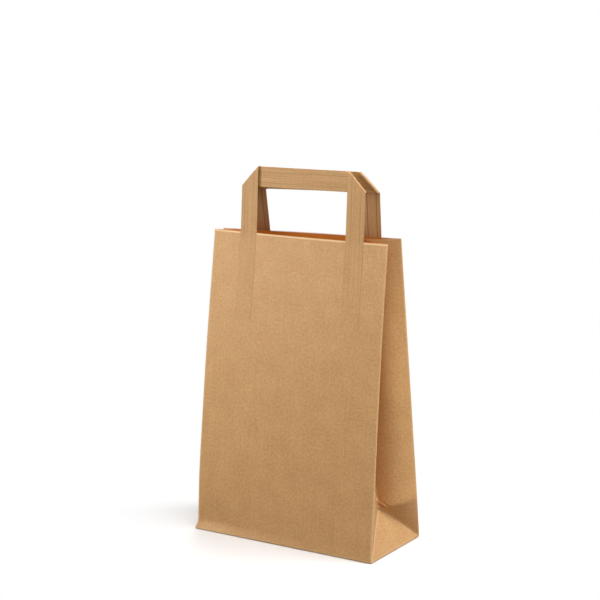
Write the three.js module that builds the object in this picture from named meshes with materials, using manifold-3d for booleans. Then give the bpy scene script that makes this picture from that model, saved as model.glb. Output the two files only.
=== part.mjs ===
// A kraft paper carrier bag: one folded and glued sheet with a block bottom, and two flat paper handles.
// Millimetres, +Z up. The front panel faces -Y, and the origin is under the middle of the bottom.
import * as THREE from "three";
import { mergeVertices } from "three/addons/utils/BufferGeometryUtils.js";
import Module from "manifold-3d";

// The bag's paper
const bagWidth = 220; // front panel, between its two corner folds
const bagDepth = 102; // bottom, front to back
const panelHeight = 324; // paper from the bottom fold up to the rim
const creaseHeight = 47; // cross crease of the block bottom, above the bottom fold
const paper = 0.13; // one ply of kraft paper
const foldRound = 0.6; // paper that a fold's round takes on each side of it
const flapLap = 20; // overlap of the two bottom flaps
const seamLap = 18; // overlap of the glued seam down the middle of the back panel

// How the bag stands: where each corner fold meets the rim, and its lean in degrees below the cross crease
const frontLeft = { x: -1, y: -1, rimY: -4, toeLean: 6 };
const frontRight = { x: 1, y: -1, rimY: -23, toeLean: 10 };
const backRight = { x: 1, y: 1, rimY: 9, toeLean: 7 };
const backLeft = { x: -1, y: 1, rimY: 6, toeLean: 8 };
const panelBow = 4; // outward bow of the front and back panels at the rim

// The handles, each one strip folded over twice at 45 degrees
const stripWidth = 22;
const stripThickness = 0.45; // its plies pressed flat
const handleGap = 115; // clear width between the two legs
const handleRise = 70; // from the rim to the top edge of the cross strip
const gluedLength = 92; // leg glued to the panel below the rim
const plySpread = 1.6; // from the leg's middle plane to the cross strip's at a folded corner
const glueLine = 0.3; // between a leg and the panel it is glued to

// The four walls: which way each faces, its corner folds, and its handle's lean and sideways place
const frontPanel = { out: -1, left: frontLeft, right: frontRight, handleLean: 3, handleShift: 2 };
const backPanel = { out: 1, left: backLeft, right: backRight, handleLean: 7, handleShift: 4 };
const rightGusset = { x: 1, front: frontRight, back: backRight };
const leftGusset = { x: -1, front: frontLeft, back: backLeft };

// Fineness of the facets
const panelColumns = 8;
const wallBands = 8; // between the cross crease and the rim
const gluedBands = 6;
const bendSteps = 6;
const crossSteps = 6;

const bottomZ = 2 * paper; // the two flaps lie under the bottom
const upperHeight = panelHeight - creaseHeight;
const { degToRad, lerp } = THREE.MathUtils;

const wasm = await Module();
wasm.setup();

// The whole numbers from 0 up to a count.
function upTo(count) {
  return Array.from({ length: count }, (_, i) => i);
}

// A row of evenly spaced values from the first to the last.
function spaced(first, last, steps) {
  return upTo(steps + 1).map((i) => lerp(first, last, i / steps));
}

// The point of a corner fold at a height of paper: straight to the cross crease, then straight to the rim.
function foldPoint(corner, height) {
  const foot = new THREE.Vector3((corner.x * bagWidth) / 2, (corner.y * bagDepth) / 2, bottomZ);
  const lean = degToRad(corner.toeLean);
  const toe = new THREE.Vector3(0, -corner.y * Math.sin(lean), Math.cos(lean));
  const knee = foot.clone().addScaledVector(toe, creaseHeight);
  if (height <= creaseHeight) return foot.lerp(knee, height / creaseHeight);
  const run = corner.rimY - knee.y;
  const rise = Math.sqrt(upperHeight ** 2 - run ** 2);
  const rim = knee.clone().add(new THREE.Vector3(0, run, rise));
  return knee.lerp(rim, (height - creaseHeight) / upperHeight);
}

// The point of a panel's outer face, across from its middle and up from the bottom fold.
function panelPoint(panel, across, height) {
  const share = across / bagWidth + 0.5;
  const point = foldPoint(panel.left, height).lerp(foldPoint(panel.right, height), share);
  const bow = panelBow * (1 - ((2 * across) / bagWidth) ** 2) * (height / panelHeight);
  point.y += panel.out * bow;
  return point;
}

function panelNormal(panel, across, height) {
  const top = Math.min(height + 1, panelHeight);
  const up = panelPoint(panel, across, top).sub(panelPoint(panel, across, top - 2));
  const along = panelPoint(panel, across + 1, height).sub(panelPoint(panel, across - 1, height));
  return along.cross(up).multiplyScalar(-panel.out).normalize();
}

// The gusset's middle fold. Its lower end is the apex where the two diagonal folds from the bottom corners
// meet: the triangle below the apex tilts in as far as the lean of the corner folds pushes it.
function valleyPoint(gusset, height) {
  const lean = degToRad((gusset.front.toeLean + gusset.back.toeLean) / 2);
  const slack = (bagDepth / (2 * creaseHeight)) * Math.sin(lean);
  const tilt = Math.acos((1 - slack) / Math.cos(lean));
  const foot = new THREE.Vector3((gusset.x * bagWidth) / 2, 0, bottomZ);
  const inwards = new THREE.Vector3(-gusset.x * Math.sin(tilt), 0, Math.cos(tilt));
  const apex = foot.clone().addScaledVector(inwards, creaseHeight);
  if (height <= creaseHeight) return foot.lerp(apex, height / creaseHeight);
  const frontRim = foldPoint(gusset.front, panelHeight);
  const backRim = foldPoint(gusset.back, panelHeight);
  const halfMouth = frontRim.distanceTo(backRim) / 2;
  const rim = frontRim.lerp(backRim, 0.5);
  rim.x -= gusset.x * Math.sqrt((bagDepth / 2) ** 2 - halfMouth ** 2);
  return apex.lerp(rim, (height - creaseHeight) / upperHeight);
}

// The gusset's points from front to back, with a narrow flat in place of each fold's round.
function gussetPoints(gusset, height) {
  const valley = valleyPoint(gusset, height);
  const front = foldPoint(gusset.front, height);
  const back = foldPoint(gusset.back, height);
  const nearer = (from, to) => from.clone().add(to.clone().sub(from).setLength(foldRound));
  return [nearer(front, valley), nearer(valley, front), nearer(valley, back), nearer(back, valley)];
}

// One turn round the bag at a height of paper, anticlockwise seen from above.
function bagRing(height) {
  const half = bagWidth / 2 - foldRound;
  const columns = spaced(-half, half, panelColumns);
  const front = columns.map((across) => panelPoint(frontPanel, across, height));
  const back = columns.map((across) => panelPoint(backPanel, across, height));
  const right = gussetPoints(rightGusset, height);
  const left = gussetPoints(leftGusset, height);
  return [...front, ...right, ...back.reverse(), ...left.reverse()];
}

// Triangles between two turns of the bag. Each gusset half is split from its lower corner to the middle fold.
function bandFaces(lower, upper, size) {
  const splitOtherWay = [panelColumns + 3, 2 * panelColumns + 8];
  return upTo(size).flatMap((i) => {
    const j = (i + 1) % size;
    const [a, b, c, d] = [lower + i, lower + j, upper + j, upper + i];
    return splitOtherWay.includes(i) ? [[a, b, d], [b, c, d]] : [[a, b, c], [a, c, d]];
  });
}

// The move that brings a corner in by the thickness from all the faces round it, by least squares.
function cornerInset(normals, thickness) {
  const steady = 1e-4;
  const sums = new THREE.Matrix3();
  const cell = (i, j) => normals.reduce((sum, n) => sum + n[i] * n[j], i === j ? steady : 0);
  sums.set(...[0, 1, 2].flatMap((i) => [0, 1, 2].map((j) => cell(i, j))));
  const total = normals.reduce((sum, n) => sum.add(new THREE.Vector3(...n)), new THREE.Vector3());
  return total.applyMatrix3(sums.invert()).multiplyScalar(-thickness);
}

// The closed solid of points and triangles.
function solidOf(points, faces) {
  const vertProperties = new Float32Array(points.flatMap((point) => point.toArray()));
  const triVerts = new Uint32Array(faces.flat());
  return new wasm.Manifold(new wasm.Mesh({ numProp: 3, vertProperties, triVerts }));
}

// The points of a folded sheet moved in by a distance, square to its faces.
function insetPoints(points, faces, distance) {
  const normals = points.map(() => []);
  for (const face of faces) {
    const triangle = new THREE.Triangle(...face.map((i) => points[i]));
    const normal = triangle.getNormal(new THREE.Vector3()).toArray();
    face.forEach((i) => normals[i].push(normal));
  }
  return points.map((point, i) => point.clone().add(cornerInset(normals[i], distance)));
}

// The solid between two depths inside a folded sheet's face, open at the sheet's last turn.
function sheetSolid({ points, faces, turn }, depth, innerDepth) {
  const outer = insetPoints(points, faces, depth);
  const inner = insetPoints(points, faces, innerDepth);
  const count = points.length;
  const innerFaces = faces.map(([a, b, c]) => [a + count, c + count, b + count]);
  const edgeFaces = upTo(turn).flatMap((i) => {
    const [a, b] = [count - turn + i, count - turn + ((i + 1) % turn)];
    return [[a, b, b + count], [a, b + count, a + count]];
  });
  return solidOf([...outer, ...inner], [...faces, ...innerFaces, ...edgeFaces]);
}

// The outer face of the folded walls and the bottom.
function bagFace() {
  const heights = [0, ...spaced(creaseHeight, panelHeight, wallBands)];
  const rings = heights.map(bagRing);
  const turn = rings[0].length;
  const walls = rings.slice(1).flatMap((_, k) => bandFaces(k * turn, (k + 1) * turn, turn));
  const outline = rings[0].map((point) => new THREE.Vector2(point.x, point.y));
  const bottom = THREE.ShapeUtils.triangulateShape(outline, []).map(([a, b, c]) => [a, c, b]);
  return { points: rings.flat(), faces: [...walls, ...bottom], turn };
}

// The closed solid of one of the three.js geometries.
function solidOfGeometry(geometry) {
  const { attributes, index } = mergeVertices(geometry.deleteAttribute("normal").deleteAttribute("uv"));
  const point = (i) => new THREE.Vector3().fromBufferAttribute(attributes.position, i);
  return solidOf(upTo(attributes.position.count).map(point), [Array.from(index.array)]);
}

// A bottom flap: a trapezoid with its ends folded under at 45 degrees, reaching past the middle line.
function bottomFlap(panel, lowZ) {
  const foldY = bagDepth / 2 - foldRound;
  const halfFold = bagWidth / 2 - foldRound;
  const halfEdge = halfFold - foldY - flapLap / 2;
  const outline = [[-halfFold, -foldY], [halfFold, -foldY], [halfEdge, flapLap / 2], [-halfEdge, flapLap / 2]];
  const shape = new THREE.Shape(outline.map(([x, y]) => new THREE.Vector2(x, y)));
  const depth = bottomZ + paper / 2 - lowZ;
  const plate = new THREE.ExtrudeGeometry(shape, { depth, bevelEnabled: false });
  if (panel.out > 0) plate.rotateZ(Math.PI);
  return solidOfGeometry(plate.translate(0, 0, lowZ));
}

// The second ply of the back seam, from the bottom fold's round up to the rim.
function seamPly(face) {
  const lowZ = bottomZ + foldRound;
  const highZ = panelPoint(backPanel, 0, panelHeight).z - foldRound;
  const slab = new THREE.BoxGeometry(seamLap, bagDepth, highZ - lowZ);
  slab.translate(0, bagDepth / 2, (lowZ + highZ) / 2);
  return sheetSolid(face, -paper, paper / 2).intersect(solidOfGeometry(slab));
}

function bagBody() {
  const face = bagFace();
  const frontFlap = bottomFlap(frontPanel, paper);
  const backFlap = bottomFlap(backPanel, 0);
  return sheetSolid(face, 0, paper).add(frontFlap).add(backFlap).add(seamPly(face));
}

// A solid with four corners at each station along it, closed at both ends.
function loft(stations) {
  const last = 4 * (stations.length - 1);
  const sides = stations.slice(1).flatMap((_, k) =>
    [0, 1, 2, 3].flatMap((i) => {
      const j = (i + 1) % 4;
      const [a, b, c, d] = [4 * k + i, 4 * k + j, 4 * k + 4 + j, 4 * k + 4 + i];
      return [[a, b, c], [a, c, d]];
    }),
  );
  const ends = [[0, 2, 1], [0, 3, 2], [last, last + 1, last + 2], [last, last + 2, last + 3]];
  return solidOf(stations.flat(), [...sides, ...ends]);
}

// A place on a handle: across from the panel's middle, up from the rim (or down the panel where negative),
// and out from the panel's face.
function handlePoint(panel, across, up, out) {
  const height = panelHeight + Math.min(up, 0);
  const point = panelPoint(panel, across, height);
  if (up <= 0) return point.addScaledVector(panelNormal(panel, across, height), out);
  const lean = degToRad(panel.handleLean);
  const rising = new THREE.Vector3(0, -panel.out * Math.sin(lean), Math.cos(lean));
  const along = panelPoint(panel, across + 1, height).sub(panelPoint(panel, across - 1, height));
  const normal = along.cross(rising).multiplyScalar(-panel.out).normalize();
  return point.addScaledVector(rising, up).addScaledVector(normal, out);
}

// One flat strip: up the left leg, over the left fold, across behind the legs, over the right fold and down.
function handleStrip(panel) {
  const inner = handleGap / 2;
  const outer = inner + stripWidth;
  const low = handleRise - stripWidth;
  const radius = plySpread / 2;
  const foldAxis = glueLine + stripThickness / 2 - radius;

  // The four corners of a station: its lower and upper edge, and how far the strip has turned round the fold
  const station = (lowEdge, highEdge, side, turn) =>
    [[lowEdge, -1], [highEdge, -1], [highEdge, 1], [lowEdge, 1]].map(([edge, face]) => {
      const reach = radius + (face * stripThickness) / 2;
      const shift = (reach * Math.sin(turn)) / Math.SQRT2;
      const across = edge[0] + side * shift + panel.handleShift;
      return handlePoint(panel, across, edge[1] + shift, foldAxis + reach * Math.cos(turn));
    });
  const leg = (side, up) => station([side * outer, up], [side * inner, up], side, 0);
  const corner = (side, turn) => station([side * outer, low], [side * inner, handleRise], side, turn);
  const cross = (share) =>
    station([lerp(-outer, outer, share), low], [lerp(-inner, inner, share), handleRise], 0, Math.PI);

  const legHeights = spaced(-gluedLength, 0, gluedBands);
  const turns = spaced(0, Math.PI, bendSteps);
  const stations = [
    ...legHeights.map((up) => leg(-1, up)),
    ...turns.map((turn) => corner(-1, turn)),
    ...spaced(0, 1, crossSteps).slice(1, -1).map(cross),
    ...turns.reverse().map((turn) => corner(1, turn)),
    ...legHeights.reverse().map((up) => leg(1, up)),
  ];
  return loft(panel.out < 0 ? stations.reverse() : stations);
}

// A named mesh of a finished solid.
function meshOf(name, solid, material) {
  const { vertProperties, triVerts } = solid.getMesh();
  const geometry = new THREE.BufferGeometry();
  geometry.setAttribute("position", new THREE.BufferAttribute(vertProperties, 3));
  geometry.setIndex(new THREE.BufferAttribute(triVerts, 1));
  geometry.computeVertexNormals();
  const mesh = new THREE.Mesh(geometry, material);
  mesh.name = name;
  return mesh;
}

const kraft = new THREE.MeshStandardMaterial({ color: 0xc0935f, roughness: 0.85, metalness: 0 });
const ribbedKraft = new THREE.MeshStandardMaterial({ color: 0xb48d5c, roughness: 0.8, metalness: 0 });

const bag = new THREE.Group();
bag.name = "paper_carrier_bag";
bag.add(meshOf("bag_body", bagBody(), kraft));
bag.add(meshOf("front_handle", handleStrip(frontPanel), ribbedKraft));
bag.add(meshOf("back_handle", handleStrip(backPanel), ribbedKraft));

export default bag;
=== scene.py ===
import bpy
import numpy as np
from mathutils import Matrix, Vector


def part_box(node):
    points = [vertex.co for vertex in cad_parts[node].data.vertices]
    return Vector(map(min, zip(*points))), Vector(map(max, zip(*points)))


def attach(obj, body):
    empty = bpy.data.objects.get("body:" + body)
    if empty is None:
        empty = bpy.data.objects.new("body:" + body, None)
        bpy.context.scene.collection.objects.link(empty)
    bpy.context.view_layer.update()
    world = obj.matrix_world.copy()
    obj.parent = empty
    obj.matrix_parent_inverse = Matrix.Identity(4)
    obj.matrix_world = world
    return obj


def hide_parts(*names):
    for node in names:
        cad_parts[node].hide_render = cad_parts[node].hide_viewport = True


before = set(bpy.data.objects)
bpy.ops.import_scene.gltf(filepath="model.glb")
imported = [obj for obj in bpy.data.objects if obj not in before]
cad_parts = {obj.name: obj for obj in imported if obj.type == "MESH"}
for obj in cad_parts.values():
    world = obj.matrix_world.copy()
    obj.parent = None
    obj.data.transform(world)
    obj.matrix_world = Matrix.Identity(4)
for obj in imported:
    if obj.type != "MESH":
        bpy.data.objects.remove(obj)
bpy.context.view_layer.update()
mm = 0.001  # shapes are worked out in millimetres and written in metres
tinyShare, tinyLength = 1e-6, 1e-9  # keep divisions away from zero
far = 99.0  # a distance in mm where every mask has faded out
print("frame loaded, nodes:", sorted(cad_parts))


# camera, found by fitting the bag's corners, rim and handles to the photo
view = {
    "place": (0.8390, -1.3003, 0.5169),
    "azimuth": 33.0,
    "elevation": 9.65,
    "roll": -0.6,
    "lens": 90.0,
    "sensor": 36.0,
}


def makeCamera():  # rolled about its own axis, tipped up to the elevation, then turned to the azimuth
    data = bpy.data.cameras.new("camera")
    data.lens = view["lens"]
    data.sensor_width = view["sensor"]
    camera = bpy.data.objects.new("camera", data)
    camera.location = view["place"]
    turns = ((view["azimuth"], "Z"), (90 - view["elevation"], "X"), (view["roll"], "Z"))
    azimuth, tip, roll = (Matrix.Rotation(np.radians(angle), 3, axis) for angle, axis in turns)
    camera.rotation_euler = (azimuth @ tip @ roll).to_euler()
    bpy.context.scene.collection.objects.link(camera)
    bpy.context.scene.camera = camera


makeCamera()
print("camera set")


# the bag's paper, in millimetres
lowBody, highBody = (np.array(corner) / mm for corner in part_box("bag_body"))
bag = {
    "width": highBody[0] - lowBody[0],
    "depth": -2 * lowBody[1],
    "height": 324.0,  # paper from the bottom fold to the rim
    "crease": 47.0,  # cross crease of the block bottom
    "ply": 0.16,
    "lift": 0.45,  # the flaps' face above the floor
    "bow": 4.0,  # panels bow out by this at the rim
    "tuckRecess": 0.3,  # end triangles of the bottom lie behind the flaps
    "tuckReach": 1.5,  # and get there this far from the bottom fold
    "panelColumns": 176,
    "gussetColumns": 82,
    "middleGap": 0.4,  # half the slit that is left in the middle of the bottom, below the flap
    "bottomRows": (43, 34, 25, 17, 10, 5.5, 3, 1.6, 0.7),  # distances in from the bottom fold
    "creaseRows": (1.1, 2.2, 3.3, 4.5, 7.5, 12),  # heights above the cross crease
    "highRows": (20, 9, 24),  # first above the crease, last below the rim, and how many
    "rimRows": (5, 1.6, 1.2, 0),  # distances below the rim
}
rim = {
    "trim": {"frontLeft": 2.5, "frontRight": -1.2, "backRight": 2.0, "backLeft": 1.0},  # the cut isn't quite square
    "teeth": (0.7, 0.6, 1.7, 0.6),  # zigzag of the cut: front, right, back, left
    "curl": 0.35,  # the cut edge turns out a little
    "curlHeight": 2.6,
    "cutHeight": 1.6,  # pale from here up
    "cutFade": 0.4,
    "cutPanel": 4.0,  # pale cut fibres and a painted highlight of the cut edge, where more than 1 is paler than any fold
    "cutGusset": 0.36,
}
# bends of each corner fold: height up the paper, distance to the back, and how softly it bends there;
# the front left corner also splays out at the floor
cornerFolds = {
    "frontLeft": {
        "side": -1,
        "up": (0, 9, 62, 203, 324),
        "back": (-51, -47.5, -44.2, -25.8, -6.3),
        "soft": (3, 28, 45),
        "splay": 2.6,
    },
    "frontRight": {
        "side": 1,
        "up": (0, 58, 110, 240, 324),
        "back": (-51, -44.3, -39.9, -25.6, -14.4),
        "soft": (14, 40, 30),
        "splay": 0.0,
    },
    "backRight": {"side": 1, "up": (0, 47, 324), "back": (51, 46.0, 12.1), "soft": (3,), "splay": 0.0},
    "backLeft": {"side": -1, "up": (0, 47, 324), "back": (51, 45.0, 9.8), "soft": (3,), "splay": 0.0},
}
panels = {
    "front": {"out": -1, "left": "frontLeft", "right": "frontRight", "phase": 0.15, "toe": 2.7},
    "back": {"out": 1, "left": "backLeft", "right": "backRight", "phase": 0.6, "toe": 0.0},
}
# the crease over the front left toe, of the depth that its panel gives
toe = {
    "splayHeight": 11.0,  # the corner stands out below this
    "reach": 0.4,  # share of the panel's width
    "fromFold": 8.0,  # no crease at the corner fold itself
    "deepest": 10.0,
    "fade": 28.0,  # gone this far above its deepest
}
# slow waves of the panels: height, waves across, length of a wave up the paper, and share of the panel's phase
cockles = ((0.30, 0.9, 310, 1.0), (0.20, 1.7, -170, 2.3), (0.10, 2.6, 95, 4.1))
gussets = {
    "right": {"side": 1, "front": "frontRight", "back": "backRight"},
    "left": {"side": -1, "front": "frontLeft", "back": "backLeft"},
}
gussetFold = {
    "belly": (7.0, 13.0, 5.0),  # the back half bellies out by this at the cross crease, in the middle and at the rim
    "bellyAt": (0.0, 120.0, 277.0),
    "ridge": 3.8,  # along the cross crease of the back half
    "ridgeStart": 0.12,  # full at this share of the way from the fold to the valley
    "ridgeFall": 0.7,  # the power of its fall to the valley
    "ridgeRise": 60.0,
    "crestTilt": 3.5,
    "apexReach": 12.0,  # the valley leaves the apex straight up
    "paintedShadeReach": (14.0, 40.0),  # painted shade of the hollow: its half width at the crease and at the rim
    "paintedShadeAt": (47.0, 125.0, 210.0, 324.0),
    "paintedShadeShare": (1.0, 0.5, 0.8, 0.85),
    "paintedShadeLeast": 0.12,
    "paintedShadeLow": (0.1, 0.38),  # painted shade below the crease: at the diagonals, and how much more at the corner folds
}
# crumpled paper round the apex of a gusset: pleats across the back diagonal and a finer second wave
crumple = {"height": 0.9, "reach": 8.0, "lean": (0.68, 0.73), "pitch": 4.0, "second": 0.4, "secondLean": (1.9, 0.7)}
# the front right fold is a soft roll: averaged a few times more near the fold, from the start on up
softRoll = {"passes": 2, "halfWidth": 3.0, "start": 4.0, "rise": 20.0}
# pale folds from rubbing, with a painted highlight on the soft roll: most on the soft roll, least at the low back
# corners
paleFolds = {"width": 1.8, "rollReach": 6.0, "fold": 0.6, "lowBack": 0.2, "lowBackFrom": 0.9, "inner": 0.12}


def softRamp(x, soft):  # 0 before the bend, x after it, and a parabola between
    return np.where(np.abs(x) < soft, (x + soft) ** 2 / (4 * soft), np.maximum(x, 0))


def bentLine(t, at, value, soft):  # straight runs between the given points, rounded where they meet
    slopes = np.diff(value) / np.diff(at)
    line = value[0] + slopes[0] * (t - at[0])
    for k in range(1, len(slopes)):
        line = line + (slopes[k] - slopes[k - 1]) * softRamp(t - at[k], soft[k - 1])
    return line


def smooth(x):  # 0 to 1 with level ends
    x = np.clip(x, 0, 1)
    return x * x * (3 - 2 * x)


def mix(a, b, share):  # points on the line from a to b
    return a + (b - a) * np.asarray(share)[..., None]


def unit(vectors):  # each vector over its own length
    return vectors / np.maximum(np.linalg.norm(vectors, axis=-1, keepdims=True), tinyLength)


def cornerLine(name, up):  # the fold's depth is a bent line; its height keeps the paper's length
    fold = cornerFolds[name]
    pastRim, quarters = 4, 4  # the paper in steps of a quarter mm, and on a little past the rim
    fine = np.linspace(0, bag["height"] + pastRim, int(quarters * (bag["height"] + pastRim)) + 1)
    back = bentLine(fine, fold["up"], fold["back"], fold["soft"])
    rise = np.sqrt(1 - np.gradient(back, fine) ** 2)
    high = bag["lift"] + np.concatenate([[0], np.cumsum((rise[1:] + rise[:-1]) / 2 * np.diff(fine))])
    splay = fold["splay"] * np.clip(1 - up / toe["splayHeight"], 0, 1) ** 2
    across = fold["side"] * (bag["width"] / 2 + splay)
    return np.stack([across, np.interp(up, fine, back), np.interp(up, fine, high)], -1)


def cockle(share, up, phase):  # sum of the slow waves of paper that has stood folded, none at the folds
    waves = 0
    for high, across, length, turn in cockles:
        waves = waves + high * np.sin(2 * np.pi * (across * share + up / length + turn * phase))
    return np.sin(np.pi * share) * waves


def panelPoints(name, share, up):  # straight across between the two corner folds, plus bow, toe crease and cockle
    panel = panels[name]
    points = mix(cornerLine(panel["left"], up), cornerLine(panel["right"], up), share)
    bow = bag["bow"] * (1 - (2 * share - 1) ** 2) * (up / bag["height"])
    fade = np.clip(1 - share / toe["reach"], 0, 1) ** 2 * smooth(share * bag["width"] / toe["fromFold"])
    deepest = toe["deepest"]
    rise = np.where(up < deepest, up / deepest, 1 - smooth((up - deepest) / toe["fade"]))
    bow = bow - panel["toe"] * fade * rise
    points[..., 1] += panel["out"] * (bow + cockle(share, up, panel["phase"]))
    return points


def gussetApex(gusset):  # the end triangle tilts in as far as the leaning corner folds push it
    crease = bag["crease"]
    leans = []
    for end in ("front", "back"):
        foot, top = cornerLine(gusset[end], np.array([0.0, crease]))[:, 1]
        leans.append(np.arcsin(abs(top - foot) / crease))
    lean = np.mean(leans)
    tilt = np.arccos((1 - bag["depth"] / (2 * crease) * np.sin(lean)) / np.cos(lean))
    inward = np.array([-gusset["side"] * np.sin(tilt), 0, np.cos(tilt)])
    return np.array([gusset["side"] * bag["width"] / 2, 0, bag["lift"]]) + crease * inward


def gussetValley(gusset, front, back, up):  # half the gusset's paper away from both folds, starting at the apex
    side, crease, half = gusset["side"], bag["crease"], bag["depth"] / 2
    apex = gussetApex(gusset)
    halfMouth = np.linalg.norm(back - front, axis=-1) / 2
    inward = np.sqrt(half ** 2 - np.minimum(halfMouth, half) ** 2)
    valley = (front + back) / 2 - np.stack([side * inward, 0 * up, 0 * up], -1)
    above = np.maximum(up - crease, 0)
    toRim = np.clip(above / (bag["height"] - crease), 0, 1)
    valley[..., 2] -= (bag["lift"] + crease - apex[2]) * (1 - toRim)
    near = np.clip(1 - above / gussetFold["apexReach"], 0, 1)
    return mix(valley, apex + np.stack([0 * up, 0 * up, above], -1), near)


def backPush(fromFold, up, low):
    # the belly is half a sine from the fold to the valley; the ridge turns the paper down below it and up above it
    crease = bag["crease"]
    ridge = gussetFold["ridge"] * smooth(fromFold / gussetFold["ridgeStart"])
    ridge = ridge * (1 - fromFold) ** gussetFold["ridgeFall"]
    crest = crease + gussetFold["crestTilt"] * (1 - fromFold)
    ridge = ridge * np.minimum(up / crest, 1) * np.clip(1 - (up - crest) / gussetFold["ridgeRise"], 0, 1) ** 2
    belly = np.interp(np.maximum(up - crease, 0), gussetFold["bellyAt"], gussetFold["belly"])
    return ridge + belly * np.sin(np.pi * fromFold) * low ** 2


def gussetPoints(name, share, up):  # rows run from the front fold by the two diagonals to the back fold
    gusset = gussets[name]
    front, back = cornerLine(gusset["front"], up), cornerLine(gusset["back"], up)
    valley, apex = gussetValley(gusset, front, back, up), gussetApex(gusset)
    low = np.clip(up / bag["crease"], tinyShare, 1)
    diagonals = []
    for end in ("front", "back"):  # from the corner's foot to the apex, and on up the valley
        foot = cornerLine(gusset[end], np.array(0.0))
        diagonals.append(np.where((low < 1)[..., None], mix(foot, apex, low), valley))
    frontDiagonal, backDiagonal = diagonals
    reach = low / 2
    fore = mix(front, frontDiagonal, share / reach)
    aft = mix(backDiagonal, back, (share - 1 + reach) / reach)
    middle = mix(frontDiagonal, backDiagonal, (share - reach) / np.maximum(1 - 2 * reach, tinyShare))
    points = np.where((share >= 1 - reach)[..., None], aft, middle)
    points = np.where((share <= reach)[..., None], fore, points)
    isBack = share > 0.5
    run = np.where(isBack[..., None], back - backDiagonal, front - frontDiagonal)
    turned = np.where(isBack, -1, 1) * np.abs(run[..., 0])
    out = unit(np.stack([np.abs(run[..., 1]) * gusset["side"], turned, 0 * up], -1))
    fromFold = np.minimum(np.minimum(share, 1 - share) / reach, 1)
    push = np.where(isBack, backPush(fromFold, up, low), 0)
    return points + out * push[..., None]


def bottomPoints(inset):  # each turn of the closed bottom is the bottom rectangle drawn in by its inset
    halfWidth, halfDepth = bag["width"] / 2 - inset, bag["depth"] / 2 - inset
    across = np.arange(bag["panelColumns"]) / bag["panelColumns"] * 2 - 1
    deep = np.arange(bag["gussetColumns"]) / bag["gussetColumns"] * 2 - 1
    level = np.full_like(inset, bag["lift"])
    tuck = level + bag["tuckRecess"] * np.minimum(inset / bag["tuckReach"], 1)
    front = np.stack(np.broadcast_arrays(across * halfWidth, -halfDepth, level), -1)
    right = np.stack(np.broadcast_arrays(halfWidth, deep * halfDepth, tuck), -1)
    turned = np.array([-1, -1, 1])
    return np.concatenate([front, right, front * turned, right * turned], 1)


def gridNormals(points, wrap):  # cross product of the steps along the rows and the columns
    along = np.roll(points, -1, 1) - np.roll(points, 1, 1) if wrap else np.gradient(points, axis=1)
    return unit(np.cross(along, np.gradient(points, axis=0)))


def gridCells(rows, columns):  # the four corners of each cell, as a row and a column
    r, c = np.meshgrid(np.arange(rows), np.arange(columns), indexing="ij")
    corners = np.stack([[r, c], [r, c + 1], [r + 1, c + 1], [r + 1, c]])
    return corners.transpose(2, 3, 0, 1).reshape(-1, 4, 2)


def addPiece(name, points, rowOf, faces, rounded, flat, masks):
    # flat places each face corner on the paper; edges within the first and the last row are cut, so they are sharp
    mesh = bpy.data.meshes.new(name)
    mesh.from_pydata((points * mm).tolist(), [], faces)
    mesh.uv_layers.new(name="paper").data.foreach_set("uv", (flat * mm).reshape(-1))
    mesh.polygons.foreach_set("use_smooth", rounded)
    for mask, values in masks:
        mesh.attributes.new(mask, "FLOAT", "POINT").data.foreach_set("value", values.reshape(-1))
    edges = np.empty(2 * len(mesh.edges), np.int32)
    mesh.edges.foreach_get("vertices", edges)
    row = rowOf[edges.reshape(-1, 2)]
    cut = ((row == 0) | (row == rowOf[-1])).all(1)
    mesh.attributes.new("sharp_edge", "BOOLEAN", "EDGE").data.foreach_set("value", cut)
    piece = bpy.data.objects.new(name, mesh)
    bpy.context.scene.collection.objects.link(piece)
    return piece


def thickSheet(name, points, normals, thickness, paperAcross, paperUp, wrap, backSplit=None, masks=()):
    # outer grid, the same grid moved in by the thickness, and strips that close the cut edges
    rows, columns = points.shape[:2]
    spans = columns if wrap else columns - 1
    cells = gridCells(rows - 1, spans)
    slash = np.zeros(len(cells), bool) if backSplit is None else backSplit.reshape(-1)
    triangles = np.concatenate([cells[~slash][:, [0, 1, 2]], cells[~slash][:, [0, 2, 3]],
                                cells[slash][:, [0, 1, 3]], cells[slash][:, [1, 2, 3]]])
    layer = rows * columns
    outerFaces = triangles[..., 0] * columns + triangles[..., 1] % columns
    faces = [outerFaces, outerFaces[:, ::-1] + layer]
    places = [triangles, triangles[:, ::-1]]

    def along(row, column):  # places on one edge of the grid
        return np.stack(np.broadcast_arrays(row, column), 1)

    def closeEdge(a, b):  # a strip between the outer and the inner grid, from place a to place b
        ia, ib = (p[:, 0] * columns + p[:, 1] % columns for p in (a, b))
        faces.extend([np.stack([ia, ib + layer, ib], 1), np.stack([ia, ia + layer, ib + layer], 1)])
        places.extend([np.stack([a, b, b], 1), np.stack([a, a, b], 1)])

    steps, rises = np.arange(spans), np.arange(rows - 1)
    closeEdge(along(0, steps), along(0, steps + 1))
    closeEdge(along(rows - 1, steps + 1), along(rows - 1, steps))
    if not wrap:
        closeEdge(along(rises + 1, 0), along(rises, 0))
        closeEdge(along(rises, columns - 1), along(rises + 1, columns - 1))
    faces, places = np.concatenate(faces), np.concatenate(places)
    both = np.concatenate([points.reshape(-1, 3), (points - normals * thickness).reshape(-1, 3)])
    rowOf = np.tile(np.repeat(np.arange(rows), columns), 2)
    flat = np.stack([paperAcross[places[..., 1]], paperUp[places[..., 0]]], -1)
    allMasks = [(mask, np.concatenate([outer, inner])) for mask, outer, inner in masks]
    allMasks.append(("inside", np.repeat([0.0, float(wrap)], layer)))  # painted shade over the inner face; only the bag has an inside
    return addPiece(name, both, rowOf, faces.tolist(), np.ones(len(faces), bool), flat, allMasks)


def averaged(points):  # half of each point and a quarter of each neighbour, round the bag
    return (np.roll(points, 1, 1) + 2 * points + np.roll(points, -1, 1)) / 4


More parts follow.
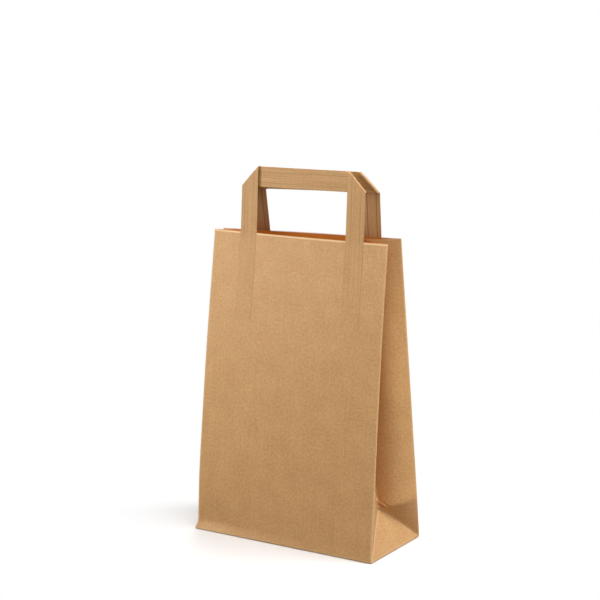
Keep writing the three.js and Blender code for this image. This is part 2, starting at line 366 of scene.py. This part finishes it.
def softened(points):  # averaged round the bag, then between the rows, so that folds are round
    around = averaged(points)
    result = around.copy()
    result[1:-2] = (around[:-3] + 2 * around[1:-2] + around[2:-1]) / 4
    return result


def bodyRows():  # distance up the paper from the bottom fold, less than 0 on the bottom
    crease, height = bag["crease"], bag["height"]
    insets = np.array([bag["depth"] / 2 - bag["middleGap"], *bag["bottomRows"]])
    low = np.linspace(0, crease, bag["gussetColumns"] // 2 + 1)
    first, last, count = bag["highRows"]
    high = np.linspace(crease + first, height - last, count)
    near, top = crease + np.array(bag["creaseRows"]), height - np.array(bag["rimRows"])
    return np.concatenate([-insets, low, near, high, top])


def foldWalls(shares, zones, up):  # the four walls side by side; the trim lengthens or shortens the upper half
    half = bag["height"] / 2
    heights = np.repeat(up[:, None], len(shares), 1)
    corners = ("frontLeft", "frontRight", "backRight", "backLeft", "frontLeft")
    starts = [zone[0] for zone in zones] + [len(shares)]
    trim = np.interp(np.arange(len(shares)), starts, [rim["trim"][corner] for corner in corners])
    heights += trim * smooth((heights - half) / half)
    makers = [(panelPoints, "front"), (gussetPoints, "right"), (panelPoints, "back"), (gussetPoints, "left")]
    walls = []
    for zone, (make, name) in zip(zones, makers):
        high = heights[:, zone]
        walls.append(make(name, np.broadcast_to(shares[zone], high.shape), high))
    return np.concatenate(walls, 1)


def outwardPush(share, rows, isGusset):  # the rim curls out, and a bell of crinkles stands round the apex
    crease, depth = bag["crease"], bag["depth"]
    fromRim = np.clip((rows - (bag["height"] - rim["curlHeight"])) / rim["curlHeight"], 0, 1)
    fromApex = np.hypot((share - 0.5) * depth, rows - crease)
    lean, secondLean = crumple["lean"], crumple["secondLean"]
    pleat = lean[0] * (share - 0.5) * depth + lean[1] * (rows - crease)
    crinkle = np.sin(2 * np.pi * pleat / crumple["pitch"])
    crinkle = crinkle + crumple["second"] * np.sin(secondLean[0] * (share - 0.5) * depth + secondLean[1] * rows)
    bell = crumple["height"] * np.exp(-(fromApex / crumple["reach"]) ** 2)
    return rim["curl"] * fromRim ** 2 + np.where(isGusset, bell * crinkle, 0)


def paperMasks(share, rows, isGusset, toRoll):
    # wear, with a painted highlight on the soft roll, is a bell curve of the distance to the nearest fold, and the
    # cut rim has its own;
    # the painted shade of a gusset is a bell curve round its valley, and below the crease grows to the corner folds
    crease, depth = bag["crease"], bag["depth"]
    side, isLow = np.minimum(share, 1 - share), rows < crease
    toFold = side * np.where(isGusset, depth, bag["width"])
    toValley = np.where(isGusset & ~isLow, np.abs(share - 0.5) * depth, far)
    diagonal = np.abs(side * depth - rows * depth / (2 * crease)) / np.sqrt(2)
    toDiagonal = np.where(isGusset & isLow & (rows > 0), diagonal, far)
    nearest = np.minimum(np.minimum(toFold, toValley), np.minimum(toDiagonal, np.abs(rows)))
    # on the soft roll the paleness is partly a painted highlight of the rounded fold
    paleShare = np.where(toRoll < paleFolds["rollReach"], 1, paleFolds["fold"])
    paleShare = paleShare * np.where(isGusset & isLow & (share > paleFolds["lowBackFrom"]), paleFolds["lowBack"], 1)
    wearAndHighlight = paleShare * np.exp(-(nearest / paleFolds["width"]) ** 2)
    cut = np.clip((rows - bag["height"] + rim["cutHeight"]) / rim["cutFade"], 0, 1)
    wearAndHighlight = np.maximum(wearAndHighlight, cut * np.where(isGusset, rim["cutGusset"], rim["cutPanel"]))

    paintedShadeZone = isGusset & (rows > 0) & (~isLow | (side < rows / (2 * crease)))
    reach = np.interp(rows, [crease, bag["height"]], gussetFold["paintedShadeReach"])
    deep = np.exp(-(toValley / reach) ** 2) * np.interp(rows, gussetFold["paintedShadeAt"], gussetFold["paintedShadeShare"])
    toDiagonalShare = side * 2 * crease / np.maximum(rows, tinyShare)
    atDiagonal, more = gussetFold["paintedShadeLow"]
    deep = np.where(isLow, atDiagonal + more * (1 - toDiagonalShare), np.maximum(deep, gussetFold["paintedShadeLeast"]))
    deep = np.where(paintedShadeZone, deep, 0)
    return [("wearAndHighlight", wearAndHighlight, paleFolds["inner"] * np.minimum(wearAndHighlight, 1)), ("deep", deep, 0 * deep)]


def makeBody():  # columns go round the bag from the front left fold, rows go up from the middle of the bottom
    p, g, width, depth = bag["panelColumns"], bag["gussetColumns"], bag["width"], bag["depth"]
    panelShare, gussetShare = np.arange(p) / p, np.arange(g) / g
    shares = np.concatenate([panelShare, gussetShare, 1 - panelShare, 1 - gussetShare])
    column, columns = np.arange(len(shares)), len(shares)
    zones = np.split(column, [p, p + g, 2 * p + g])
    isGusset = np.isin(column, np.concatenate([zones[1], zones[3]]))
    rows = bodyRows()[:, None]
    bottom = bottomPoints(-rows[rows < 0][:, None])
    points = softened(np.concatenate([bottom, foldWalls(shares, zones, rows[rows >= 0])]))

    toRoll = np.abs((column - p + columns // 2) % columns - columns // 2) * width / p
    roll = np.clip(2 - toRoll / softRoll["halfWidth"], 0, 1)
    roll = roll * np.clip((rows - softRoll["start"]) / softRoll["rise"], 0, 1)
    for _ in range(softRoll["passes"]):
        points = mix(points, averaged(points), roll)

    share = np.broadcast_to(shares, points.shape[:2])
    points = points + gridNormals(points, True) * outwardPush(share, rows, isGusset)[..., None]
    normals = gridNormals(points, True)
    teeth = np.repeat(rim["teeth"], [len(zone) for zone in zones]) * (column % 2)
    points[-1] += teeth[:, None] * unit(points[-2] - points[-1])  # every other point of the rim is cut lower

    paperAcross = np.concatenate([panelShare * width, width + gussetShare * depth])
    paperAcross = np.concatenate([paperAcross, paperAcross + width + depth, [2 * (width + depth)]])
    split = isGusset & (column % (p + g) >= p + g // 2)  # cells are split along the diagonal that is near them
    split = np.broadcast_to(split, (len(rows) - 1, columns))
    masks = paperMasks(share, rows, isGusset, toRoll)
    return thickSheet("bag_paper", points, normals, bag["ply"], paperAcross, rows[:, 0], True, split, masks)


# the outer flap of the bottom, in millimetres
bottomFlap = {
    "lap": 10.0,  # it passes the middle line by this
    "margin": 1.2,  # stays this far inside the bottom folds
    "glueLine": 0.04,
    "free": 12.0,  # the free edge stands a hair away
    "gap": 0.14,
    "wave": (0.4, 3.1, 0.7),  # height, rate across and start of the free edge's wave
    "grid": (40, 90),
}


def makeFlap():  # a trapezoid with 45 degree ends, from the back fold past the middle
    margin, lap, wide = bottomFlap["margin"], bottomFlap["lap"], bottomFlap["free"]
    deep = np.linspace(bag["depth"] / 2 - margin, -lap, bottomFlap["grid"][0])
    half = bag["width"] / 2 - margin - (bag["depth"] / 2 - margin - deep)
    across = np.linspace(-1, 1, bottomFlap["grid"][1])
    free = np.clip((wide - lap - deep) / wide, 0, 1)[:, None]
    high, turns, start = bottomFlap["wave"]
    gap = bottomFlap["gap"] * free * (1 + high * np.sin(turns * across + start))
    level = bag["lift"] - bottomFlap["glueLine"] - gap
    points = np.stack(np.broadcast_arrays(half[:, None] * across, deep[:, None], level), -1)
    normals = np.broadcast_to(np.array([0.0, 0, 1]), points.shape)
    flap = thickSheet("bottom_flap", points, normals, bag["ply"], across * bag["width"] / 2, deep, False)
    flap.data.flip_normals()
    return flap


# the glued seam up the back, in millimetres
backSeam = {
    "lap": 18.0,
    "thickness": 0.1,
    "raised": (-0.03, 0.08, 0.16),  # from the side that fades into the panel to the edge of the upper ply
    "foot": 1.5,
    "aboveCrease": 4.0,
    "belowRim": 2.0,
    "grid": (12, 12, 40),  # columns, rows below the crease and rows above it
}


def makeSeam():  # a strip of the back panel, raised along a bent line across it
    columns, lowRows, highRows = backSeam["grid"]
    across = np.linspace(-backSeam["lap"] / 2, backSeam["lap"] / 2, columns)
    low = np.linspace(backSeam["foot"], bag["crease"], lowRows)
    high = np.linspace(bag["crease"] + backSeam["aboveCrease"], bag["height"] - backSeam["belowRim"], highRows)
    up = np.concatenate([low, high])
    share = np.broadcast_to(0.5 + across / bag["width"], (len(up), len(across)))[:, ::-1]
    points = panelPoints("back", share, np.broadcast_to(up[:, None], share.shape))
    normals = gridNormals(points, False)
    raised = np.interp(np.linspace(0, 1, columns), [0, 0.5, 1], backSeam["raised"])
    points = points + normals * raised[None, :, None]
    return thickSheet("back_seam", points, normals, backSeam["thickness"], across + 1.5 * bag["width"], up, False)


# the handles, in millimetres
handle = {
    "stripWidth": 21.3,
    "thickness": 0.5,
    "glued": 92.0,  # leg below the rim
    "glueLine": 0.06,
    "hinge": 5.0,  # the strip turns from the panel's slope to its own lean round this height above the rim
    "plySpread": 2.8,  # leg to cross strip at a folded corner
    "foldBulge": 0.45,  # the bend is pressed flat, so it stands out by this share of a round one
    "tipFlat": 0.8,  # and even less at its upper end, so that this is level with the cross strip
    "tipReach": 0.3,
    "crossOut": 2.0,  # the cross strip comes back out to the legs' face
    "crossGap": 2.4,  # this far from the legs' edges
    "crossRamp": 1.2,
    "ribPitch": 1.1,
    "ribHeight": 0.035,
    "ribPoints": 4,
    "edgeRound": 0.6,
    "plyEdges": (0.22, 0.74),  # shares of the width where the outer ply begins and ends
    "plyStep": 0.14,
    "plySlope": 0.3,
    "plyLine": 0.4,  # half width of the dark line along a ply's edge
    "plyLineGlued": 0.8,  # the line is fainter by this share where the leg is glued
    "plyLineInner": 1.8,  # and stronger by this on the inner face
    "shade": (0.1, 0.8),  # painted shade: the legs' inner faces are darker, most at the rim
    "shadeRise": 60.0,
    "legShade": (0.7, 0.3),  # the left leg has more of it than the right one
    # painted shade in the bends
    "bendShade": 0.25,
    "sunk": 0.55,  # a glued leg takes this much of the panel's look at once, and all of it at its end
    "sunkRise": 8.0,
    "pressAt": (-92.0, -60.0, -8.0, 6.0),  # heights from the rim where the strip's thickness is shared out
    "press": (0.08, 0.2, 0.3, 1.0),
    "legBreaks": (-8.0, -6.0, 14.0),  # the leg's rows are closest between the last two heights from the rim
    "legRows": (22, 11, 13),
    "bendRows": 12,
    "crossBreaks": (0.18, 0.82),  # the cross strip's rows are closest beside the legs
    "crossRows": (33, 24),
    # gap is between the legs, rise from the rim to the top edge, and a twist leans the left leg more
    "front": {"gap": 111.5, "rise": 70.5, "tilt": 0.016, "lean": 4.5, "twist": 0.0, "shift": 4.2},
    "back": {"gap": 115.0, "rise": 67.9, "tilt": 0.0, "lean": 7.0, "twist": 3.0, "shift": 6.6},
}


def handlePoints(name, across, up, out):  # down the panel's face below the rim, and on from the rim above it
    panel, stance, hinge = panels[name], handle[name], handle["hinge"]
    share = 0.5 + across / bag["width"]
    onPanel = np.clip(bag["height"] + up, 0, bag["height"])
    points = panelPoints(name, share, onPanel)
    step = 0.5
    aside = step / bag["width"]
    along = panelPoints(name, share + aside, onPanel) - panelPoints(name, share - aside, onPanel)
    rise = unit(points - panelPoints(name, share, onPanel - step))
    lean = np.radians(stance["lean"] - stance["twist"] * across / (stance["gap"] / 2 + handle["stripWidth"]))
    free = np.stack([0 * lean, -panel["out"] * np.sin(lean), np.cos(lean)], -1)
    above = np.maximum(up, 0)[..., None]
    points = points + rise * above + (free - rise) * softRamp(above - hinge, hinge)
    turned = rise + (free - rise) * np.clip(above / (2 * hinge), 0, 1)
    normals = unit(np.cross(along, turned) * -panel["out"])
    return points + normals * np.asarray(out)[..., None]


def stripProfile():  # closed section: ribbed outer face with a raised outer ply, round sides, plain inner face
    width = handle["stripWidth"]
    ribs = int(width / handle["ribPitch"]) * handle["ribPoints"]
    across = np.linspace(0, 1, ribs + 1)
    side = np.minimum(across, 1 - across) * width
    rounded = np.sqrt(np.clip(1 - (1 - np.clip(side / handle["edgeRound"], 0, 1)) ** 2, 0, 1))
    half = handle["thickness"] / 2 * rounded
    rib = handle["ribHeight"] * np.cos(2 * np.pi * across * width / handle["ribPitch"])
    first, last = ((across - edge) * width / handle["plySlope"] for edge in handle["plyEdges"])
    ply = handle["plyStep"] * (np.clip(first, 0, 1) - np.clip(last, 0, 1))
    outer = half + (rib + ply) * rounded
    return np.concatenate([across, across[-2:0:-1]]), np.concatenate([outer, -half[-2:0:-1]])


def stripMasks(across, lift, v, turn, sign):
    # sunk grows down a glued leg; a ply line is a bell curve round each ply's edge;
    # painted shade grows to the rim on the legs' inner faces, and follows the sine of the turn in a bend
    pressed = np.clip(-v / handle["sunkRise"], 0, 1)
    sunk = np.maximum(handle["sunk"] * pressed, smooth(-v / handle["glued"]) ** 0.5)
    fromEdge = np.min([np.abs(across - edge) * handle["stripWidth"] for edge in handle["plyEdges"]], axis=0)
    innerFace = (lift < 0) * (1 + np.cos(turn))[:, None] / 2
    plyLine = np.exp(-(fromEdge / handle["plyLine"]) ** 2) * (1 - handle["plyLineGlued"] * pressed)
    plyLine = plyLine * (1 + handle["plyLineInner"] * innerFace)
    nearRim = np.clip(1 - v / handle["shadeRise"], 0, 1) ** 2
    least, most = handle["shade"]
    shade = innerFace * (least + (most - least) * nearRim)
    middle, differs = handle["legShade"]
    shade = shade * (middle - differs * sign)[:, None] + handle["bendShade"] * np.sin(turn)[:, None]
    return [("sunk", sunk), ("plyLine", plyLine), ("shade", shade)]


def makeHandle(name):
    # one strip carried up the left leg, round the 45 degree fold, across behind the legs, round and down
    width, inner, high = handle["stripWidth"], handle[name]["gap"] / 2, handle[name]["rise"]
    outer, low = inner + width, high - width
    radius = handle["plySpread"] / 2
    foldAxis = handle["glueLine"] + handle["thickness"] / 2 - radius

    def steps(start, end, count):  # even steps that leave out the start
        return np.linspace(start, end, count + 1)[1:]

    (gluedTo, nearFrom, nearTo), (gluedRows, nearRows, freeRows) = handle["legBreaks"], handle["legRows"]
    legUp = [np.linspace(-handle["glued"], gluedTo, gluedRows), np.linspace(nearFrom, nearTo, nearRows)]
    share = steps(0, 1, freeRows)
    lowUp = np.concatenate([*legUp, nearTo + (low - nearTo) * share])
    highUp = np.concatenate([*legUp, nearTo + (high - nearTo) * share])
    turns = steps(0, np.pi, handle["bendRows"])
    (crossFrom, crossTo), (besideRows, middleRows) = handle["crossBreaks"], handle["crossRows"]
    nearLeg = steps(0, crossFrom, besideRows)
    cross = np.concatenate([nearLeg, steps(crossFrom, crossTo, middleRows + 1)[:-1], 1 - nearLeg[::-1]])
    legs, bends, spans = len(lowUp), len(turns), len(cross)

    def path(leg, top):  # left leg, left bend, cross strip, right bend, right leg
        return np.concatenate([leg, np.full(2 * bends + spans, top), leg[::-1]])

    sign = np.concatenate([-np.ones(legs + bends), np.zeros(spans), np.ones(bends + legs)])
    crossing = np.concatenate([-np.ones(legs + bends), cross * 2 - 1, np.ones(bends + legs)])
    turn = np.concatenate([np.zeros(legs), turns, np.full(spans, np.pi), turns[::-1], np.zeros(legs)])
    lowEdge = np.stack([crossing * outer, path(lowUp, low)], -1)
    highEdge = np.stack([crossing * inner, path(highUp, high)], -1)

    across, lift = stripProfile()
    edge = lowEdge[:, None] + (highEdge - lowEdge)[:, None] * across[None, :, None]
    pressed = np.interp(path(lowUp, high), handle["pressAt"], handle["press"])[:, None]
    reach = radius + lift[None, :] * pressed - (1 - pressed) * (handle["thickness"] / 2)
    tip = 1 - handle["tipFlat"] * smooth((across - (1 - handle["tipReach"])) / handle["tipReach"])
    bulge = handle["foldBulge"] * tip * reach * np.sin(turn)[:, None] / np.sqrt(2)
    u = edge[..., 0] + sign[:, None] * bulge + handle[name]["shift"]
    v = edge[..., 1] + bulge
    v = np.where(v > 0, v * (1 - handle[name]["tilt"] * u / outer), v)  # the cross strip isn't quite level
    # on the left the cross strip comes out beside the leg, on the right along the fold, behind the leg
    fromLeg = np.where(edge[..., 0] < 0, inner + edge[..., 0], inner + high - edge[..., 1] - edge[..., 0])
    cameOut = smooth((fromLeg - handle["crossGap"]) / handle["crossRamp"]) * (sign == 0)[:, None]
    out = foldAxis + reach * np.cos(turn)[:, None] + handle["crossOut"] * cameOut
    points = handlePoints(name, u, v, out)

    stations, ring = points.shape[:2]
    cells = gridCells(stations - 1, ring)
    ends = np.array([np.arange(ring), np.arange(ring)[::-1] + (stations - 1) * ring])
    if panels[name]["out"] > 0:
        cells = cells[:, ::-1]
    else:
        ends = ends[:, ::-1]
    quads = cells[..., 0] * ring + cells[..., 1] % ring
    middle = points[:, ring // 4]
    length = np.concatenate([[0], np.cumsum(np.linalg.norm(np.diff(middle, axis=0), axis=1))])
    section = np.append(across * width, 0)
    flat = np.stack([section[cells[..., 1]], length[cells[..., 0]]], -1).reshape(-1, 2)
    endFlat = np.tile(np.stack([section[:ring], np.zeros(ring)], -1), (2, 1))
    rounded = np.arange(len(quads) + len(ends)) < len(quads)
    rowOf = np.repeat(np.arange(stations), ring)
    faces, flat = quads.tolist() + ends.tolist(), np.concatenate([flat, endFlat])
    masks = stripMasks(across, lift, v, turn, sign)
    return addPiece(name + "_strip", points.reshape(-1, 3), rowOf, faces, rounded, flat, masks)


# paper materials; colours are those of a picture, 0 to 255, and the noise of the paper is in millimetres
finishes = {
    "bagKraft": {
        "dark": (182, 135, 85),
        "light": (218, 175, 121),
        "fleck": (146, 102, 62),
        # the pale fold and cut rim colours are partly rubbing and cut fibres, partly painted highlight; the hollow
        # and inside colours are painted shade
        "wornAndHighlit": (240, 203, 156),
        "deep": (165, 98, 38),
        "cutRim": (244, 209, 156),
        "inside": (200, 111, 14),
        "cloud": 0.2,
        "pulp": 0.42,
        "fibre": 0.25,
        "streak": 0.13,
        "wearAndHighlight": 1.5,
        "paintedShadeShare": 0.65,
        "insideShare": 0.92,
        "cutShare": 0.5,
        "roughness": 0.5,
    },
    "stripKraft": {
        "dark": (171, 129, 82),
        "light": (214, 171, 117),
        "fleck": (140, 102, 62),
        "plyLine": (122, 82, 44),
        # painted shade of the legs' inner faces and the bends
        "shade": (122, 58, 6),
        "cloud": 0.1,
        "pulp": 0.25,
        "fibre": 0.15,
        "streak": 0.3,
        "plyShare": 0.35,
        "sunkShare": 0.9,
        "roughness": 0.55,
    },
}
paper = {
    # the range is spread from 0 to 1; a stretch is an angle and the scales across and along
    "cloud": {"scale": 0.045, "detail": 4.0, "range": (0.3, 0.7)},
    "pulp": {"scale": 0.4, "detail": 5.0, "range": (0.34, 0.66)},
    "fibreLeft": {"scale": 1.0, "detail": 2.0, "stretch": (0.25, 3.4, 0.32), "distortion": 0.6},
    "fibreRight": {"scale": 1.3, "detail": 2.0, "stretch": (-0.45, 3.4, 0.32), "distortion": 0.6},
    "fibreRange": (0.78, 1.22),
    "streak": {"scale": 1.0, "detail": 3.0, "range": (0.36, 0.64), "stretch": (0, 0.8, 0.014)},
    "fleck": {"scale": 1.5, "detail": 1.0, "range": (0.70, 0.76)},
    "relief": (0.45, 0.55),  # shares of pulp and fibre in the height
    "fleckShare": 0.55,
    "palest": 0.9,
    "roughSpread": 0.1,
    "specular": 0.3,
    "bump": 0.35,
    "bumpDepth": 0.0001,
}


def addNode(tree, kind, links=(), **values):  # a node with its values set and its inputs linked
    node = tree.nodes.new(kind)
    for key, value in values.items():
        if key in node.inputs:
            node.inputs[key].default_value = value
        else:
            setattr(node, key, value)
    for socket, source in links:
        tree.links.new(source, node.inputs[socket])
    return node


def feed(tree, socket, value):  # a socket takes a link or a plain value
    if isinstance(value, bpy.types.NodeSocket):
        tree.links.new(value, socket)
    else:
        socket.default_value = value


def mathNode(tree, operation, a, b):  # one sum, product or limit of two values
    node = addNode(tree, "ShaderNodeMath", operation=operation)
    feed(tree, node.inputs[0], a)
    feed(tree, node.inputs[1], b)
    return node.outputs[0]


def blendNode(tree, share, a, b):  # from colour a to colour b
    node = addNode(tree, "ShaderNodeMix", [("Factor", share)], data_type="RGBA")
    colourA, colourB, result = 6, 7, 2  # places of the colour sockets
    feed(tree, node.inputs[colourA], a)
    feed(tree, node.inputs[colourB], b)
    return node.outputs[result]


def rangeNode(tree, value, **values):  # a value carried from one range to another
    return addNode(tree, "ShaderNodeMapRange", [("Value", value)], **values).outputs["Result"]


def kraftFibreGroup():
    # cloudy formation and mottling of the pulp, fibres in two leanings, streaks along the paper, and sparse flecks
    group = bpy.data.node_groups.new("kraftFibre", "ShaderNodeTree")
    group.interface.new_socket("Vector", in_out="INPUT", socket_type="NodeSocketVector")
    outputs = ("Cloud", "Pulp", "Fibre", "Streak", "Fleck", "Height")
    for output in outputs:
        group.interface.new_socket(output, in_out="OUTPUT", socket_type="NodeSocketFloat")
    start = group.nodes.new("NodeGroupInput").outputs["Vector"]

    def spread(value, limits):  # 0 at the first limit, 1 at the second
        return rangeNode(group, value, **{"From Min": limits[0], "From Max": limits[1]})

    def noise(name):  # stretched where the table says so, and spread over its range
        kind, vector = paper[name], start
        if "stretch" in kind:
            angle, across, along = kind["stretch"]
            turned = addNode(group, "ShaderNodeMapping", [("Vector", start)],
                             Rotation=(0, 0, angle), Scale=(across, along, 1))
            vector = turned.outputs["Vector"]
        node = addNode(group, "ShaderNodeTexNoise", [("Vector", vector)], Scale=kind["scale"], Detail=kind["detail"],
                       Distortion=kind.get("distortion", 0.0))
        return spread(node.outputs["Fac"], kind["range"]) if "range" in kind else node.outputs["Fac"]

    values = {name.title(): noise(name) for name in ("cloud", "pulp", "streak", "fleck")}
    values["Fibre"] = spread(mathNode(group, "ADD", noise("fibreLeft"), noise("fibreRight")), paper["fibreRange"])
    pulpShare, fibreShare = paper["relief"]
    relief = [mathNode(group, "MULTIPLY", values["Pulp"], pulpShare),
              mathNode(group, "MULTIPLY", values["Fibre"], fibreShare)]
    values["Height"] = mathNode(group, "ADD", *relief)
    end = group.nodes.new("NodeGroupOutput")
    for output in outputs:
        group.links.new(values[output], end.inputs[output])
    return group


def linear(colour):  # from the 0 to 255 of a picture to the shader's colour
    c = np.array(colour) / 255
    c = np.where(c <= 0.04045, c / 12.92, ((c + 0.055) / 1.055) ** 2.4)
    return (*c, 1.0)


def kraftMaterial(name, group):  # the paper colour, with each mask blending in a colour of its own
    look = finishes[name]
    material = bpy.data.materials.new(name)
    material.use_nodes = True
    tree = material.node_tree
    tree.nodes.clear()
    flat = addNode(tree, "ShaderNodeUVMap", uv_map="paper").outputs["UV"]
    inMm = addNode(tree, "ShaderNodeMapping", [("Vector", flat)], Scale=(1000, 1000, 1000))
    grain = addNode(tree, "ShaderNodeGroup", node_tree=group)
    tree.links.new(inMm.outputs["Vector"], grain.inputs["Vector"])

    def times(value, share):  # their product
        return mathNode(tree, "MULTIPLY", value, share)

    def mask(name):  # a value that the mesh carries at each point
        return addNode(tree, "ShaderNodeAttribute", attribute_name=name).outputs["Fac"]

    def paperColour(look):  # dark to light by the weighted grain, then the flecks
        tone = 0.0
        for part in ("Cloud", "Pulp", "Fibre", "Streak"):
            tone = mathNode(tree, "ADD", tone, times(grain.outputs[part], look[part.lower()]))
        plain = blendNode(tree, tone, linear(look["dark"]), linear(look["light"]))
        return blendNode(tree, times(grain.outputs["Fleck"], paper["fleckShare"]), plain, linear(look["fleck"]))

    colour = paperColour(look)
    if "wearAndHighlight" in look:  # painted shade in the gussets' hollow and on the inside, rubbed folds with a painted highlight on the soft roll, and the pale cut rim with its painted highlight, where the mask passes 1
        wornAndHighlit = times(times(mask("wearAndHighlight"), grain.outputs["Fibre"]), look["wearAndHighlight"])
        wornAndHighlit = mathNode(tree, "MINIMUM", wornAndHighlit, paper["palest"])
        cutRim = times(mathNode(tree, "SUBTRACT", mask("wearAndHighlight"), 1.0), look["cutShare"])
        cutRim = mathNode(tree, "MINIMUM", mathNode(tree, "MAXIMUM", cutRim, 0.0), paper["palest"])
        colour = blendNode(tree, times(mask("deep"), look["paintedShadeShare"]), colour, linear(look["deep"]))
        colour = blendNode(tree, times(mask("inside"), look["insideShare"]), colour, linear(look["inside"]))
        colour = blendNode(tree, wornAndHighlit, colour, linear(look["wornAndHighlit"]))
        colour = blendNode(tree, cutRim, colour, linear(look["cutRim"]))
    if "plyLine" in look:  # lines along the plies, the bag's own look on glued legs, and painted shade on the legs' inner faces and in the bends
        panelColour = paperColour(finishes["bagKraft"])
        colour = blendNode(tree, times(mask("plyLine"), look["plyShare"]), colour, linear(look["plyLine"]))
        colour = blendNode(tree, times(mask("sunk"), look["sunkShare"]), colour, panelColour)
        colour = blendNode(tree, mask("shade"), colour, linear(look["shade"]))
    spread = paper["roughSpread"]
    roughness = mathNode(tree, "ADD", times(grain.outputs["Pulp"], spread), look["roughness"] - spread / 2)
    bump = addNode(tree, "ShaderNodeBump", [("Height", grain.outputs["Height"])],
                   Strength=paper["bump"], Distance=paper["bumpDepth"])
    links = [("Base Color", colour), ("Roughness", roughness), ("Normal", bump.outputs["Normal"])]
    shader = addNode(tree, "ShaderNodeBsdfPrincipled", links, **{"Specular IOR Level": paper["specular"]})
    addNode(tree, "ShaderNodeOutputMaterial", [("Surface", shader.outputs["BSDF"])])
    return material


fibreGroup = kraftFibreGroup()
bagKraft = kraftMaterial("bagKraft", fibreGroup)
stripKraft = kraftMaterial("stripKraft", fibreGroup)
print("paper materials made")

body, flap, seam = makeBody(), makeFlap(), makeSeam()
for piece in (body, flap, seam):
    piece.data.materials.append(bagKraft)
    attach(piece, "root")
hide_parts("bag_body")
print("bag folded:", len(body.data.polygons), "faces")

for name in ("front", "back"):
    strip = makeHandle(name)
    strip.data.materials.append(stripKraft)
    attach(strip, "root")
    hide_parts(name + "_handle")
print("handles made")


# floor, light and background; a lamp is placed by its turn from the front, its height angle and its distance
studio = {
    "floorSize": 3.0,
    "shadowReach": (0.1, 0.28),  # the floor fades to plain white between these
    "floor": (0.92, 0.92, 0.92),  # pale to the eye
    "bounce": (0.28, 0.22, 0.15),  # but only a little warm light comes back from it to the bag
    "world": 0.04,
    "aim": (0, 0, 0.2),
    "lamps": {
        "keyLeft": {"turn": -45, "height": 20, "away": 0.75, "size": 0.45, "watts": 2.8},
        "frontFill": {"turn": -12, "height": 40, "away": 0.9, "size": 0.55, "watts": 0.7},
        "frontRight": {"turn": 16, "height": 20, "away": 0.9, "size": 0.55, "watts": 1.25},
        "lowRight": {"turn": 60, "height": 22, "away": 1.1, "size": 0.7, "watts": 1.1},
        "topRight": {"turn": 45, "height": 66, "away": 1.1, "size": 0.7, "watts": 5.6},
        "sideRight": {"turn": 112, "height": 40, "away": 1.1, "size": 0.7, "watts": 11.7},
        "rearLeft": {"turn": -150, "height": 40, "away": 1.2, "size": 0.8, "watts": 7.0},
    },
}


def seenRays(tree):  # 1 where the background is looked at, straight or in a reflection
    paths = addNode(tree, "ShaderNodeLightPath").outputs
    mirrored = mathNode(tree, "MAXIMUM", paths["Is Glossy Ray"], paths["Is Transmission Ray"])
    return mathNode(tree, "MAXIMUM", paths["Is Camera Ray"], mirrored)


def makeFloor():  # pale paint that takes the shadow, and turns to plain white away from the bag
    half = studio["floorSize"]
    mesh = bpy.data.meshes.new("floor")
    corners = [(-half, -half, 0), (half, -half, 0), (half, half, 0), (-half, half, 0)]
    mesh.from_pydata(corners, [], [(0, 1, 2, 3)])
    floor = bpy.data.objects.new("floor", mesh)
    bpy.context.scene.collection.objects.link(floor)
    material = bpy.data.materials.new("paleFloor")
    material.use_nodes = True
    tree = material.node_tree
    tree.nodes.clear()
    place = addNode(tree, "ShaderNodeTexCoord").outputs["Object"]
    away = addNode(tree, "ShaderNodeVectorMath", [("Vector", place)], operation="LENGTH").outputs["Value"]
    near, reach = studio["shadowReach"]
    fade = rangeNode(tree, away, interpolation_type="SMOOTHSTEP", **{"From Min": near, "From Max": reach})
    seen = seenRays(tree)
    colour = blendNode(tree, seen, (*studio["bounce"], 1.0), (*studio["floor"], 1.0))
    paint = addNode(tree, "ShaderNodeBsdfDiffuse", [("Color", colour)])
    white = addNode(tree, "ShaderNodeEmission", Color=(1, 1, 1, 1), Strength=1.0)
    links = [(0, mathNode(tree, "MULTIPLY", fade, seen)), (1, paint.outputs[0]), (2, white.outputs[0])]
    both = addNode(tree, "ShaderNodeMixShader", links)
    addNode(tree, "ShaderNodeOutputMaterial", [("Surface", both.outputs[0])])
    mesh.materials.append(material)


def makeLamp(name):  # on a sphere round the aim, and turned to it
    lamp = studio["lamps"][name]
    data = bpy.data.lights.new(name, "AREA")
    data.size = lamp["size"]
    data.energy = lamp["watts"]
    light = bpy.data.objects.new(name, data)
    turn, height = np.radians(lamp["turn"]), np.radians(lamp["height"])
    toward = np.array([np.sin(turn) * np.cos(height), -np.cos(turn) * np.cos(height), np.sin(height)])
    light.location = np.array(studio["aim"]) + lamp["away"] * toward
    light.rotation_euler = (np.pi / 2 - height, 0, turn)
    bpy.context.scene.collection.objects.link(light)


def makeWorld():  # white to the eye, and dim as a light
    world = bpy.data.worlds.new("studio")
    world.use_nodes = True
    tree = world.node_tree
    tree.nodes.clear()
    glow = rangeNode(tree, seenRays(tree), **{"To Min": studio["world"], "To Max": 1.0})
    background = addNode(tree, "ShaderNodeBackground", [("Strength", glow)], Color=(1, 1, 1, 1))
    addNode(tree, "ShaderNodeOutputWorld", [("Surface", background.outputs[0])])
    bpy.context.scene.world = world


makeFloor()
for name in studio["lamps"]:
    makeLamp(name)
makeWorld()
bpy.context.scene.view_settings.view_transform = "Standard"
print("studio set")
